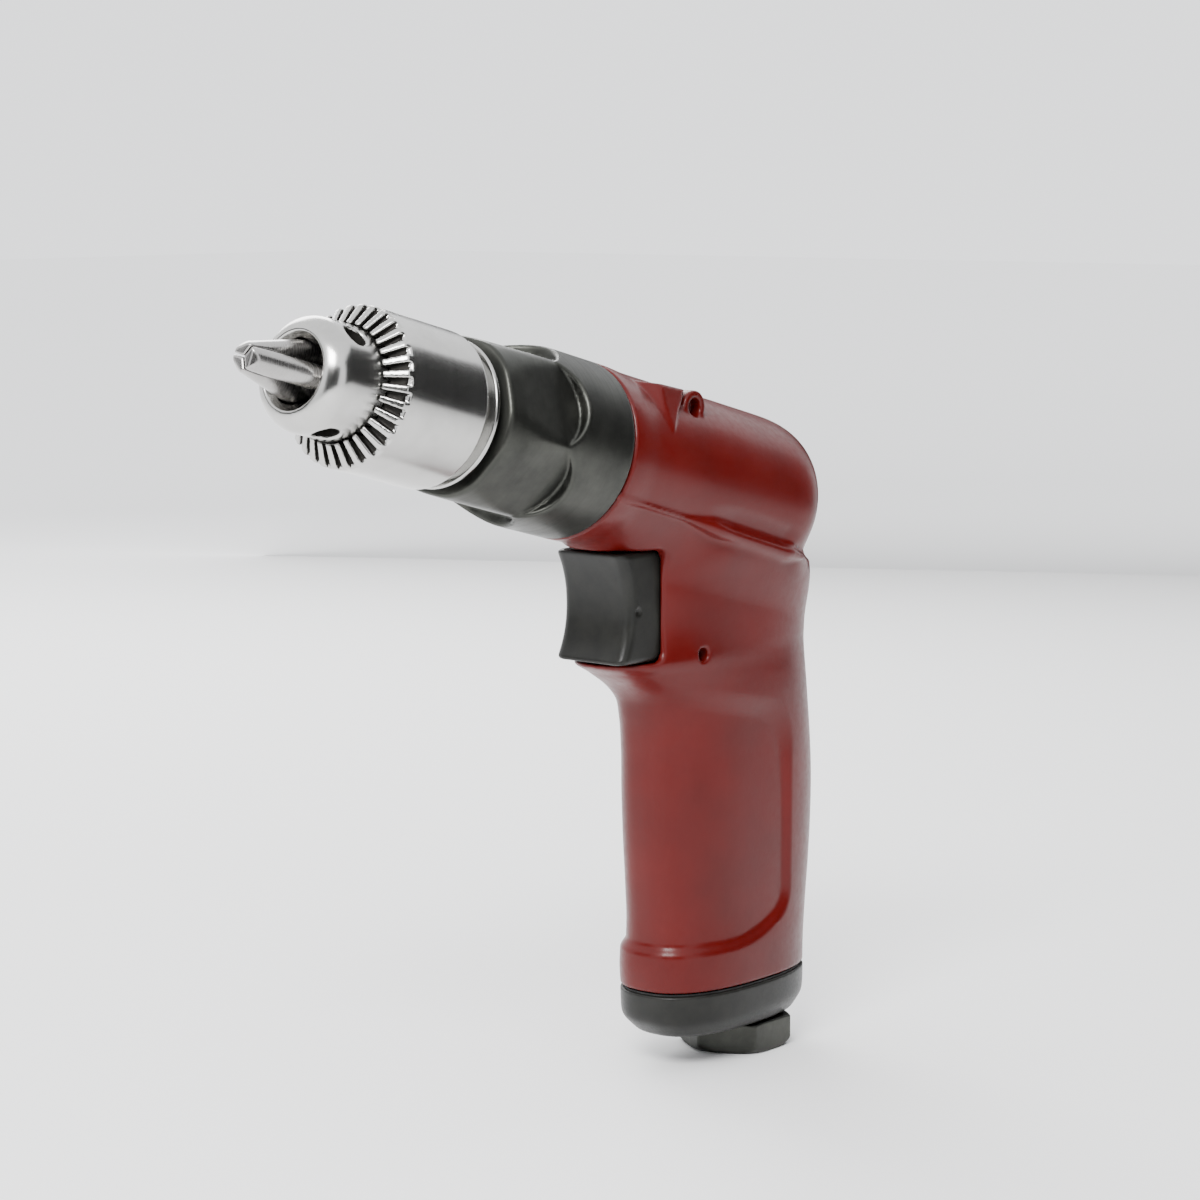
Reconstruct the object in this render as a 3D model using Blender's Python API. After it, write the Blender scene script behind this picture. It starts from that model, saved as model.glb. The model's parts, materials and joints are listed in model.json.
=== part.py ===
"""Pneumatic pistol-grip drill with a keyed three-jaw chuck, as separate bench parts.

World frame: +Z up along the handle, -X ahead (the drilling side), -Y the left side when the
tool is held. The origin is under the middle of the tool, level with the air inlet's face.
All sizes below are millimetres; the mesh helpers turn them into metres with MM.

The barrel pieces are modelled in the barrel's own frame: local +Z runs forward along the
barrel's axis, local +X points up, and local Y is world Y. Stations along it are called
FRONT/REAR values and start where the barrel's axis crosses the air inlet's axis.
"""
import math

import bmesh
import bpy
import numpy as np
from mathutils import Matrix, Vector

MM = 0.001

# ---- layout ---------------------------------------------------------------------------
INLET_X = 72.0
BARREL_TILT = math.radians(14.5)
BARREL_Z = 139.1

# ---- chuck ----------------------------------------------------------------------------
SLEEVE_RADIUS = 18.25
SLEEVE_REAR, SLEEVE_FRONT = 114.6, 140.4
SLEEVE_BORE = 16.85
TOOTH_COUNT = 32
TOOTH_RING_FRONT, TOOTH_RING_RADIUS = 143.6, 13.3
TOOTH_DEPTH_INNER, TOOTH_DEPTH_OUTER = 2.0, 0.9
NOSE_RADIUS, NOSE_CREASE, NOSE_FRONT = 12.95, 153.6, 157.4
NOSE_RIM, MOUTH_RADIUS, NECK_RADIUS = 9.2, 7.5, 11.4
BODY_REAR, BODY_RADIUS = 111.1, 16.5
NUT_REAR, NUT_FRONT = 131.4, 138.6
JAW_ANGLE = math.radians(14.0)
JAW_RADIUS, JAW_TIP, JAW_TIP_RADIUS = 2.75, 172.0, 0.5
JAW_LENGTH = 38.6
JAW_PHASE, KEY_PHASE = 100.0, 40.0
KEY_STATION, KEY_RADIUS = 148.6, 2.9

# ---- gear case, gears and spindle -------------------------------------------------------
CASE_REAR, CASE_FRONT, CASE_RADIUS = 66.9, 107.3, 21.4
CASE_FRONT_RADIUS, CASE_CONE_LENGTH = 18.7, 15.0
FLAT_DISTANCE, FLAT_PHASE, FLAT_HALF_WIDTH, FLAT_CENTRE = 18.4, 68.0, 11.2, 94.5
MODULE, SUN_TEETH, PLANET_TEETH = 0.6, 12, 15
RING_TEETH = SUN_TEETH + 2 * PLANET_TEETH
PRESSURE_ANGLE = math.radians(25.0)
BACKLASH = 0.16
GEAR_REAR, GEAR_FRONT = 75.0, 84.0
PLANET_ORBIT = MODULE * (SUN_TEETH + PLANET_TEETH) / 2
SPINDLE_RADIUS, THREAD_RADIUS, SPINDLE_SHOULDER = 8.0, 4.7, 109.2

# ---- air motor --------------------------------------------------------------------------
BARREL_RADIUS, BARREL_BORE = 21.4, 17.5
BARREL_REAR, BARREL_FRONT, CHAMBER_REAR = -13.0, 66.6, -6.0
CYLINDER_RADIUS, CYLINDER_BORE, ECCENTRICITY = 17.2, 14.0, 1.2
CYLINDER_REAR, CYLINDER_FRONT = 16.3, 54.3
ROTOR_RADIUS, VANE_COUNT, VANE_THICKNESS = 12.7, 5, 1.5

# lug and blind hole for a hanging bail on each upper side, with a wedge-shaped pad ahead;
# the pad's corners are (station, up, sideways) along and from the barrel's axis
BAIL_STATION, BAIL_HEIGHT, BAIL_REACH = 40.3, 15.9, 15.4
BAIL_LUG_RADIUS, BAIL_HOLE_RADIUS, BAIL_HOLE_FLOOR = 4.0, 2.2, 12.2
BAIL_PAD = [(39.7, 19.4, 8.3), (39.7, 19.4, 14.5), (39.7, 17.3, 15.3), (39.7, 15.2, 13.1),
            (50.1, 11.7, 17.85), (50.1, 12.3, 15.1), (53.6, 19.3, 14.4), (53.6, 17.2, 15.5),
            (57.3, 19.1, 8.4), (57.3, 18.3, 10.5), (57.3, 15.1, 13.4)]

# ---- handle -----------------------------------------------------------------------------
GRIP_EXPONENT = 2.4
SEAM_Z, CAP_BOTTOM, INLET_HEX_FLATS = 20.2, 8.0, 25.4
# height, front x, rear x, half width of the handle, measured from the inlet's axis
GRIP_SECTIONS = [
    (SEAM_Z, -37.2, 19.8, 15.6), (25.0, -37.6, 19.8, 15.6), (30.0, -35.6, 20.0, 15.2),
    (36.0, -35.8, 21.0, 14.5), (46.0, -36.5, 22.4, 14.1), (57.0, -37.4, 23.4, 14.0),
    (69.0, -38.0, 23.7, 14.0), (81.0, -38.2, 22.8, 14.1), (88.0, -38.8, 21.9, 14.4),
    (93.0, -40.4, 21.3, 14.8), (97.0, -44.0, 21.0, 15.0), (100.5, -50.5, 20.9, 15.1),
    (103.4, -55.5, 20.9, 15.2),
]
YOKE_SECTIONS = [
    (102.6, -50.0, 20.9, 15.5), (112.0, -50.5, 20.9, 15.6), (122.0, -51.0, 20.4, 15.6),
    (132.0, -51.5, 17.5, 15.0), (141.0, -50.0, 13.0, 12.0),
]
TRIGGER_FLOOR, TRIGGER_WALL = -36.0, -43.0
TRIGGER_LOW, TRIGGER_HIGH, TRIGGER_HALF_WIDTH = 104.2, 130.8, 10.7
ROD_Z = 111.0
PIN_X, PIN_Z = -31.0, 104.6
VALVE_PIVOT_X, VALVE_PIVOT_Z = -5.6, 83.6
EXHAUST_X, EXHAUST_HALF_DEPTH, EXHAUST_HALF_WIDTH = -21.5, 8.8, 9.2

# turns that lay an extruded outline on its side: along Y, and outward from the barrel
SIDEWAYS = Matrix(((1, 0, 0, 0), (0, 0, -1, 0), (0, 1, 0, 0), (0, 0, 0, 1)))
OUTWARD = Matrix(((0, 0, 1, 0), (0, -1, 0, 0), (1, 0, 0, 0), (0, 0, 0, 1)))

# cutters are turned a little, so that their corners never meet those of the piece they cut
CUTTER_PHASE = 0.113
WELD = 2e-7

FINISHES = {
    "red_paint": ((0.25, 0.02, 0.015), 0.35, 0.0),
    "black_oxide": ((0.03, 0.03, 0.028), 0.35, 1.0),
    "bright_steel": ((0.62, 0.61, 0.58), 0.22, 1.0),
    "ground_steel": ((0.45, 0.45, 0.44), 0.35, 1.0),
    "bearing_steel": ((0.55, 0.55, 0.56), 0.2, 1.0),
    "black_plastic": ((0.018, 0.018, 0.018), 0.5, 0.0),
    "rubber": ((0.012, 0.012, 0.012), 0.8, 0.0),
    "brass": ((0.62, 0.42, 0.16), 0.3, 1.0),
    "phenolic": ((0.16, 0.07, 0.03), 0.6, 0.0),
    "felt": ((0.32, 0.31, 0.29), 0.95, 0.0),
}


def clear_scene():
    for item in list(bpy.data.objects):
        bpy.data.objects.remove(item, do_unlink=True)


def finish_material(slot):
    found = bpy.data.materials.get(slot)
    if found:
        return found
    color, roughness, metallic = FINISHES[slot]
    made = bpy.data.materials.new(slot)
    made.use_nodes = True
    shader = made.node_tree.nodes["Principled BSDF"]
    shader.inputs["Base Color"].default_value = (*color, 1.0)
    shader.inputs["Roughness"].default_value = roughness
    shader.inputs["Metallic"].default_value = metallic
    return made


def empty(name, matrix, parent=None):
    item = bpy.data.objects.new(name, None)
    bpy.context.collection.objects.link(item)
    item.parent = parent
    item.matrix_local = matrix
    return item


def solid(name, bm, slot=None, parent=None, matrix=None, sharp=32.0):
    """Turn a bmesh in millimetres into a named, outward-facing object in metres."""
    bmesh.ops.remove_doubles(bm, verts=bm.verts, dist=1e-4)
    bmesh.ops.recalc_face_normals(bm, faces=bm.faces)
    bmesh.ops.scale(bm, vec=(MM, MM, MM), verts=bm.verts)
    mesh = bpy.data.meshes.new(name)
    bm.to_mesh(mesh)
    bm.free()
    item = bpy.data.objects.new(name, mesh)
    bpy.context.collection.objects.link(item)
    item.parent = parent
    item.matrix_local = matrix or Matrix()
    mesh.shade_smooth()
    mesh.set_sharp_from_angle(angle=math.radians(sharp))
    if slot:
        mesh.materials.append(finish_material(slot))
    return item


def at(x=0.0, y=0.0, z=0.0):
    return Matrix.Translation(Vector((x, y, z)) * MM)


def turned(profile, segments=48, phase=0.0):
    """Revolve a closed outline of (station, radius) points about local Z."""
    bm = bmesh.new()
    rings = []
    for station, radius in profile:
        if radius < 1e-6:
            rings.append([bm.verts.new((0, 0, station))])
            continue
        ring = []
        for step in range(segments):
            angle = phase + 2 * math.pi * step / segments
            ring.append(bm.verts.new((radius * math.cos(angle), radius * math.sin(angle), station)))
        rings.append(ring)
    for here, there in zip(rings, rings[1:] + rings[:1]):
        for step in range(segments):
            after = (step + 1) % segments
            corners = [here[step % len(here)], here[after % len(here)],
                       there[after % len(there)], there[step % len(there)]]
            corners = list(dict.fromkeys(corners))
            if len(corners) > 2:
                bm.faces.new(corners)
    return bm


def ring_profile(rear, front, inner, outer, chamfer=0.0):
    """Outline of a ring or, with inner 0, of a disc, with or without chamfered edges."""
    if not chamfer:
        return [(rear, inner), (rear, outer), (front, outer), (front, inner)]
    return [(rear, inner), (rear, outer - chamfer), (rear + chamfer, outer),
            (front - chamfer, outer), (front, outer - chamfer), (front, inner)]


def prism(outline, low, high, bm=None):
    """Extrude a closed outline of (x, y) points from low to high along local Z."""
    bm = bm or bmesh.new()
    floor = bm.faces.new([bm.verts.new((x, y, low)) for x, y in outline])
    grown = bmesh.ops.extrude_face_region(bm, geom=[floor])["geom"]
    moved = [v for v in grown if isinstance(v, bmesh.types.BMVert)]
    bmesh.ops.translate(bm, vec=(0, 0, high - low), verts=moved)
    return bm


def circle(radius, segments=24, centre=(0.0, 0.0), phase=0.0):
    points = []
    for step in range(segments):
        angle = phase + 2 * math.pi * step / segments
        points.append((centre[0] + radius * math.cos(angle), centre[1] + radius * math.sin(angle)))
    return points


def superellipse(front, rear, half_width, count=28, exponent=GRIP_EXPONENT):
    """Outline of a handle section between front and rear, on world X and Y."""
    centre, half_depth = (front + rear) / 2, (rear - front) / 2
    points = []
    for step in range(count):
        angle = 2 * math.pi * step / count
        c, s = math.cos(angle), math.sin(angle)
        points.append((centre + half_depth * math.copysign(abs(c) ** (2 / exponent), c),
                       half_width * math.copysign(abs(s) ** (2 / exponent), s)))
    return points


def loft(sections):
    """Skin a list of (height, outline) with equal point counts, capped at both ends."""
    bm = bmesh.new()
    loops = [[bm.verts.new((x, y, z)) for x, y in outline] for z, outline in sections]
    bm.faces.new(loops[0])
    bm.faces.new(loops[-1])
    for here, there in zip(loops, loops[1:]):
        for step in range(len(here)):
            after = (step + 1) % len(here)
            bm.faces.new([here[step], here[after], there[after], there[step]])
    return bm


def hull(points):
    """The smallest convex body round some points."""
    bm = bmesh.new()
    for point in points:
        bm.verts.new(point)
    made = bmesh.ops.convex_hull(bm, input=bm.verts)
    spare = [item for item in made["geom_interior"] if isinstance(item, bmesh.types.BMVert)]
    bmesh.ops.delete(bm, geom=spare, context="VERTS")
    return bm


def carve(target, tools, operation="DIFFERENCE"):
    """Apply Booleans with throw-away solids, and leave one plain mesh on the target."""
    for tool in tools:
        step = target.modifiers.new("carve", "BOOLEAN")
        step.operation = operation
        step.solver = "EXACT"
        step.object = tool
    bpy.context.view_layer.update()
    shaped = target.evaluated_get(bpy.context.evaluated_depsgraph_get())
    mesh = bpy.data.meshes.new_from_object(shaped)
    target.modifiers.clear()
    before = target.data
    target.data = mesh
    mesh.name = target.name
    bpy.data.meshes.remove(before)
    for tool in tools:
        bpy.data.objects.remove(tool, do_unlink=True)
    bm = bmesh.new()
    bm.from_mesh(mesh)
    bmesh.ops.remove_doubles(bm, verts=bm.verts, dist=WELD)
    bm.to_mesh(mesh)
    bm.free()
    mesh.shade_smooth()
    mesh.set_sharp_from_angle(angle=math.radians(32))
    return target


def rod(radius, low, high, matrix, parent, segments=24, name="cutter"):
    """A throw-away or permanent cylinder along local Z of the given placement."""
    bm = turned(ring_profile(low, high, 0.0, radius), segments, CUTTER_PHASE)
    return solid(name, bm, parent=parent, matrix=matrix)


def block(low, high, matrix, parent, name="cutter"):
    outline = [(low[0], low[1]), (high[0], low[1]), (high[0], high[1]), (low[0], high[1])]
    return solid(name, prism(outline, low[2], high[2]), parent=parent, matrix=matrix)


def along(direction, centre):
    """Placement whose local Z points along a direction through a centre in millimetres."""
    turn = Vector((0, 0, 1)).rotation_difference(Vector(direction)).to_matrix().to_4x4()
    return at(*centre) @ turn


def around(phase):
    """Rotation about the barrel's axis that brings local +X to an angle from up towards -Y."""
    return Matrix.Rotation(-math.radians(phase), 4, "Z")


# ---- gears --------------------------------------------------------------------------------
def involute_half_angle(teeth, radius, thickness):
    """Half the angle that a tooth of this pitch thickness spans at a radius."""
    pitch = MODULE * teeth / 2
    base = pitch * math.cos(PRESSURE_ANGLE)
    roll = math.tan(PRESSURE_ANGLE) - PRESSURE_ANGLE
    if radius <= base:
        return thickness / (2 * pitch) + roll
    slope = math.acos(base / radius)
    return thickness / (2 * pitch) + roll - (math.tan(slope) - slope)


def flank_points(middle, flank):
    """One tooth's or gap's points: up one flank and down the other."""
    points = []
    for radius, half in flank:
        points.append((radius * math.cos(middle - half), radius * math.sin(middle - half)))
    for radius, half in reversed(flank):
        points.append((radius * math.cos(middle + half), radius * math.sin(middle + half)))
    return points


def gear_outline(teeth, phase):
    """Outline of a stub-toothed gear whose first tooth sits at the phase angle."""
    pitch = MODULE * teeth / 2
    thickness = math.pi * MODULE / 2 - BACKLASH
    flank = []
    for radius in (pitch - 1.05 * MODULE, pitch + 0.75 * MODULE):
        flank.append((radius, involute_half_angle(teeth, radius, thickness)))
    points = []
    for tooth in range(teeth):
        points += flank_points(phase + 2 * math.pi * tooth / teeth, flank)
    return points


def ring_hole_outline(phase):
    """The open space inside the ring gear, whose first inward tooth sits at the phase angle."""
    pitch = MODULE * RING_TEETH / 2
    space = math.pi * MODULE / 2 + BACKLASH
    flank = []
    for radius in (pitch - 0.75 * MODULE, pitch + 1.05 * MODULE):
        flank.append((radius, involute_half_angle(RING_TEETH, radius, space)))
    points = []
    for gap in range(RING_TEETH):
        points += flank_points(phase + 2 * math.pi * (gap + 0.5) / RING_TEETH, flank)
    return points


# ---- chuck ----------------------------------------------------------------------------------
def jaw_axis(phase):
    """Placement at a jaw's tip, with local Z forward along the jaw and +X outward."""
    lean = Matrix.Rotation(-JAW_ANGLE, 4, "Y")
    return around(phase) @ at(JAW_TIP_RADIUS, 0, JAW_TIP) @ lean


def make_chuck_body(parent):
    arc = []
    for step in range(5):
        angle = math.pi / 2 * step / 4
        arc.append((NOSE_CREASE + (NOSE_FRONT - NOSE_CREASE) * math.sin(angle),
                    NOSE_RIM + (NOSE_RADIUS - NOSE_RIM) * math.cos(angle)))
    profile = [(BODY_REAR, 4.95), (BODY_REAR, 14.0), (BODY_REAR + 0.6, 14.6), (112.8, 14.6),
               (114.4, BODY_RADIUS), (131.0, BODY_RADIUS), (131.0, NECK_RADIUS), (139.0, NECK_RADIUS),
               (139.0, NOSE_RADIUS), *arc, (NOSE_FRONT, MOUTH_RADIUS), (153.2, 6.7),
               (150.4, 5.2), (129.0, 5.2), (128.0, 4.95)]
    body = solid("chuck_body", turned(profile, 32), "bright_steel", parent)
    tools = []
    for third in range(3):
        lane = jaw_axis(JAW_PHASE + 120 * third)
        tools.append(rod(JAW_RADIUS + 0.25, -58.5, 4.0, lane, parent, 14))
        place = around(KEY_PHASE + 120 * third) @ along((1, 0, 0), (0, 0, KEY_STATION))
        tools.append(rod(KEY_RADIUS, 7.6, 15.0, place, parent, 12))
    return carve(body, tools)


def make_chuck_sleeve(parent):
    profile = [(SLEEVE_REAR, SLEEVE_BORE), (SLEEVE_REAR, SLEEVE_RADIUS - 0.5),
               (SLEEVE_REAR + 0.5, SLEEVE_RADIUS), (SLEEVE_FRONT, SLEEVE_RADIUS),
               (TOOTH_RING_FRONT, TOOTH_RING_RADIUS), (139.4, TOOTH_RING_RADIUS),
               (139.4, SLEEVE_BORE)]
    sleeve = solid("chuck_sleeve", turned(profile, 48), "bright_steel", parent)
    bm = bmesh.new()
    slope = (TOOTH_RING_FRONT - SLEEVE_FRONT) / (SLEEVE_RADIUS - TOOTH_RING_RADIUS)
    steep = math.hypot(1, slope)
    gap = ((TOOTH_RING_RADIUS - 0.9, 0.6, TOOTH_DEPTH_INNER),
           (SLEEVE_RADIUS + 1.0, 1.0, TOOTH_DEPTH_OUTER))
    for tooth in range(TOOTH_COUNT):
        turn = Matrix.Rotation(2 * math.pi * (tooth + 0.5) / TOOTH_COUNT, 4, "Z")
        corners = []
        for radius, half, deep in gap:
            floor = TOOTH_RING_FRONT - slope * (radius - TOOTH_RING_RADIUS) - deep * steep
            for height in (floor, TOOTH_RING_FRONT + 1.0):
                for side in (-half, half):
                    corners.append(bm.verts.new(turn @ Vector((radius, side, height))))
        a, b, c, d, e, f, g, h = corners
        for face in ((a, b, d, c), (e, g, h, f), (a, e, f, b), (c, d, h, g), (a, c, g, e), (b, f, h, d)):
            bm.faces.new(face)
    return carve(sleeve, [solid("tooth_gaps", bm, parent=parent)])


def make_chuck_nut(parent):
    taper = math.tan(JAW_ANGLE)
    edge = JAW_TIP_RADIUS + JAW_RADIUS / math.cos(JAW_ANGLE) + 0.22
    rear_bore = edge + (JAW_TIP - NUT_REAR) * taper
    front_bore = edge + (JAW_TIP - NUT_FRONT) * taper
    profile = [(NUT_REAR, rear_bore), (NUT_REAR, 16.6), (NUT_FRONT, 16.6), (NUT_FRONT, front_bore)]
    solid("chuck_nut", turned(profile, 36), "ground_steel", parent)


def make_jaw(number, parent):
    phase = JAW_PHASE + 120 * number
    place = jaw_axis(phase)
    bm = turned(ring_profile(-JAW_LENGTH, 3.0, 0.0, JAW_RADIUS, 0.3), 20)
    slant = Matrix.Rotation(JAW_ANGLE, 3, "Y")
    tip = Vector((-JAW_TIP_RADIUS, 0, 0))
    grip_normals = [Vector((-math.sin(math.radians(60)), side * math.cos(math.radians(60)), 0))
                    for side in (-1, 1)]
    grip_gap = Vector((0.25, 0, 0))
    cuts = [(slant @ (tip + grip_gap), slant @ normal) for normal in grip_normals]
    cuts.append((Vector((0, 0, 0)), slant @ Vector((0, 0, 1))))
    cuts.append((slant @ Vector((2.0, 0, 0)), slant @ Vector((1, 0, 1))))
    rear = Vector((0.0, 0, -JAW_LENGTH))
    cuts.append((rear, slant @ Vector((0.95, 0, -0.31))))
    for point, normal in cuts:
        bmesh.ops.remove_doubles(bm, verts=bm.verts, dist=1e-4)
        cut = bmesh.ops.bisect_plane(bm, geom=bm.verts[:] + bm.edges[:] + bm.faces[:],
                                     plane_co=point, plane_no=normal.normalized(), clear_outer=True)
        rim = [e for e in cut["geom_cut"] if isinstance(e, bmesh.types.BMEdge)]
        bmesh.ops.contextual_create(bm, geom=rim)
    solid(f"jaw_{number + 1}", bm, "ground_steel", parent, place)


# ---- gear case and gears --------------------------------------------------------------------
def make_gear_case(parent):
    cone_rear = CASE_FRONT - CASE_CONE_LENGTH
    profile = [(63.2, 15.3), (63.2, 17.2), (CASE_REAR, 17.2), (CASE_REAR, CASE_RADIUS - 0.3),
               (CASE_REAR + 0.3, CASE_RADIUS), (cone_rear - 2.5, CASE_RADIUS),
               (cone_rear + 1.0, CASE_RADIUS - 0.35), (CASE_FRONT - 0.9, CASE_FRONT_RADIUS),
               (CASE_FRONT, CASE_FRONT_RADIUS - 0.9), (CASE_FRONT, 11.5), (103.7, 11.5),
               (103.7, 13.2), (90.6, 13.2), (90.6, 15.3)]
    case = solid("gear_case", turned(profile, 48), "black_oxide", parent)
    tools = []
    for side in range(6):
        outline = [(15.0, FLAT_HALF_WIDTH), (15.0, -FLAT_HALF_WIDTH)]
        for step in range(9):
            angle = -math.pi / 2 + math.pi * step / 8
            outline.append((-FLAT_HALF_WIDTH * math.cos(angle), FLAT_HALF_WIDTH * math.sin(angle)))
        place = around(FLAT_PHASE + 60 * side) @ at(0, 0, FLAT_CENTRE) @ OUTWARD
        tools.append(solid("flat", prism(outline, FLAT_DISTANCE, 26.0), parent=parent, matrix=place))
    return carve(case, tools)


def make_ring_gear(parent):
    body = solid("ring_gear", turned(ring_profile(74.2, 85.0, 0.0, 15.0), 42), "ground_steel", parent)
    hole = solid("hole", prism(ring_hole_outline(math.pi / RING_TEETH), 70.0, 90.0), parent=parent)
    return carve(body, [hole])


def planet_phase(angle):
    return math.pi - math.pi / PLANET_TEETH + angle * (1 + SUN_TEETH / PLANET_TEETH)


def make_planet(number, parent):
    angle = 2 * math.pi * number / 3
    centre = (PLANET_ORBIT * math.cos(angle), PLANET_ORBIT * math.sin(angle), 0)
    gear = solid(f"planet_gear_{number + 1}", prism(gear_outline(PLANET_TEETH, planet_phase(angle)),
                 GEAR_REAR, GEAR_FRONT), "ground_steel", parent, at(*centre))
    carve(gear, [rod(2.1, 60.0, 95.0, at(*centre), parent, 16)])
    pin = turned(ring_profile(GEAR_REAR - 0.6, 88.8, 0.0, 1.95), 16)
    solid(f"planet_pin_{number + 1}", pin, "bearing_steel", parent, at(*centre))


def make_spindle(parent):
    profile = [(85.4, 0.0), (85.4, 10.8), (85.8, 11.2), (88.9, 11.2), (89.3, 10.8), (89.3, 9.2),
               (90.9, 9.2), (90.9, SPINDLE_RADIUS), (SPINDLE_SHOULDER, SPINDLE_RADIUS),
               (SPINDLE_SHOULDER, THREAD_RADIUS), (126.0, THREAD_RADIUS),
               (127.0, THREAD_RADIUS - 0.9), (127.0, 0.0)]
    spindle = solid("spindle", turned(profile, 32), "ground_steel", parent)
    tools = []
    for number in range(3):
        angle = 2 * math.pi * number / 3
        centre = (PLANET_ORBIT * math.cos(angle), PLANET_ORBIT * math.sin(angle), 0)
        tools.append(rod(2.05, 80.0, 88.95, at(*centre), parent, 16))
    return carve(spindle, tools)


def make_bearing(name, rear, front, inner, outer, parent):
    """A shielded ball bearing as one ring, its shields dished in from the race faces."""
    race, step = (outer - inner) * 0.4, 0.5
    profile = [(rear, inner), (rear + step, inner + race), (rear, outer), (front, outer),
               (front - step, inner + race), (front, inner)]
    solid(name, turned(profile, 24), "bearing_steel", parent)


# ---- air motor ------------------------------------------------------------------------------
def make_cylinder(parent):
    shell = solid("motor_cylinder", turned(ring_profile(CYLINDER_REAR, CYLINDER_FRONT, 0.0,
                  CYLINDER_RADIUS), 32), "ground_steel", parent)
    bore = rod(CYLINDER_BORE, 0.0, 70.0, at(-ECCENTRICITY, 0, 0), parent, 32)
    dowel = rod(1.5, 0.0, 70.0, at(14.9, 0, 0), parent, 12)
    slots = []
    for station in (28.0, 35.5, 43.0):
        slots.append(block((-20.0, -5.0, station - 1.5), (-8.0, 5.0, station + 1.5), Matrix(), parent))
    return carve(shell, [bore, dowel, *slots])


def make_end_plate(name, rear, front, pocket_rear, pocket_front, pocket, hole, parent, ports):
    plate = solid(name, turned(ring_profile(rear, front, 0.0, CYLINDER_RADIUS), 32),
                  "ground_steel", parent)
    tools = [rod(pocket, pocket_rear, pocket_front, Matrix(), parent, 24),
             rod(hole, rear - 2, front + 2, Matrix(), parent, 24),
             rod(1.5, rear - 2, front + 2, at(14.9, 0, 0), parent, 12)]
    for side in ports:
        tools.append(rod(1.8, rear - 2, front + 2, at(-3.0, 12.4 * side, 0), parent, 12))
    return carve(plate, tools)


def rotor_outline():
    points = []
    half = VANE_THICKNESS / 2 + 0.2
    for vane in range(VANE_COUNT):
        middle = 2 * math.pi * vane / VANE_COUNT
        c, s = math.cos(middle), math.sin(middle)
        lip = math.sqrt(ROTOR_RADIUS ** 2 - half ** 2)
        for radial, side in ((lip, -half), (6.4, -half), (6.4, half), (lip, half)):
            points.append((radial * c - side * s, radial * s + side * c))
        reach = math.asin(half / ROTOR_RADIUS)
        span = 2 * math.pi / VANE_COUNT - 2 * reach
        for step in range(1, 6):
            angle = middle + reach + span * step / 6
            points.append((ROTOR_RADIUS * math.cos(angle), ROTOR_RADIUS * math.sin(angle)))
    return points


def make_rotor(parent):
    rotor = solid("rotor", prism(rotor_outline(), CYLINDER_REAR + 0.3, CYLINDER_FRONT - 0.3),
                  "ground_steel", parent)
    shaft = turned([(6.4, 0.0), (6.4, 3.8), (16.3, 3.8), (16.3, 5.2), (54.3, 5.2), (54.3, 4.3),
                    (62.6, 4.3), (63.0, 3.5), (64.5, 3.5), (64.5, 0.0)], 24)
    pinion = prism(gear_outline(SUN_TEETH, 0.0), 64.0, GEAR_FRONT + 0.4)
    return carve(rotor, [solid("shaft", shaft, parent=parent),
                         solid("pinion", pinion, parent=parent)], "UNION")


def make_vanes(parent):
    half = VANE_THICKNESS / 2
    outline = [(6.7, -half), (12.5, -half), (12.5, half), (6.7, half)]
    for vane in range(VANE_COUNT):
        turn = Matrix.Rotation(2 * math.pi * vane / VANE_COUNT, 4, "Z")
        bm = prism(outline, CYLINDER_REAR + 0.5, CYLINDER_FRONT - 0.5)
        solid(f"vane_{vane + 1}", bm, "phenolic", parent, turn)


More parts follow.
